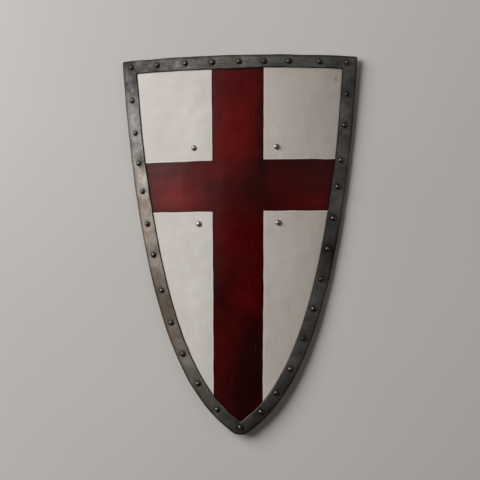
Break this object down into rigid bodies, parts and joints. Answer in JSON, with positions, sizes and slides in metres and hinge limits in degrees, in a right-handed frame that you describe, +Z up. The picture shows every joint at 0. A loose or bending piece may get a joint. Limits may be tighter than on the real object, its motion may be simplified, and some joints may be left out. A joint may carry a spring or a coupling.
{
  "type": "heater shield",
  "caption": "Bowed heater shield: painted wooden board with a straight top and pointed foot, bound in a folded riveted steel rim, leather arm straps behind",
  "frame": {"origin": "bottom centre of the bounding box, on the surface the shield lies on, face up", "axes": "+Z up out of the painted face, +Y towards the straight top edge, +X to the right as the face is seen with its top edge up"},
  "size_m": [0.4836, 0.7626, 0.0756],
  "materials": {
    "painted_board": "oil paint over gesso on wood, off-white with a deep red cross",
    "rim_steel": "aged forged steel sheet, dulled",
    "rim_rivet_steel": "aged steel, worn brighter on the domes",
    "bright_rivet": "plain bright steel",
    "strap_leather": "dark brown vegetable-tanned leather"
  },
  "bodies": {
    "root": {"shield_board": "painted_board", "steel_rim": "rim_steel", "arm_strap_left": "strap_leather", "arm_strap_right": "strap_leather", "strap_rivet_left_upper": "bright_rivet", "strap_rivet_left_lower": "bright_rivet", "strap_rivet_right_upper": "bright_rivet", "strap_rivet_right_lower": "bright_rivet", "rim_rivet_top_1": "rim_rivet_steel", "rim_rivet_top_2": "rim_rivet_steel", "rim_rivet_top_3": "rim_rivet_steel", "rim_rivet_top_4": "rim_rivet_steel", "rim_rivet_top_5": "rim_rivet_steel", "rim_rivet_top_6": "rim_rivet_steel", "rim_rivet_top_7": "rim_rivet_steel", "rim_rivet_top_8": "rim_rivet_steel", "rim_rivet_top_9": "rim_rivet_steel", "rim_rivet_right_1": "rim_rivet_steel", "rim_rivet_right_2": "rim_rivet_steel", "rim_rivet_right_3": "rim_rivet_steel", "rim_rivet_right_4": "rim_rivet_steel", "rim_rivet_right_5": "rim_rivet_steel", "rim_rivet_right_6": "rim_rivet_steel", "rim_rivet_right_7": "rim_rivet_steel", "rim_rivet_right_8": "rim_rivet_steel", "rim_rivet_right_9": "rim_rivet_steel", "rim_rivet_right_10": "rim_rivet_steel", "rim_rivet_right_11": "rim_rivet_steel", "rim_rivet_right_12": "rim_rivet_steel", "rim_rivet_left_1": "rim_rivet_steel", "rim_rivet_left_2": "rim_rivet_steel", "rim_rivet_left_3": "rim_rivet_steel", "rim_rivet_left_4": "rim_rivet_steel", "rim_rivet_left_5": "rim_rivet_steel", "rim_rivet_left_6": "rim_rivet_steel", "rim_rivet_left_7": "rim_rivet_steel", "rim_rivet_left_8": "rim_rivet_steel", "rim_rivet_left_9": "rim_rivet_steel", "rim_rivet_left_10": "rim_rivet_steel", "rim_rivet_left_11": "rim_rivet_steel", "rim_rivet_tip": "rim_rivet_steel"}
  },
  "joints": []
}
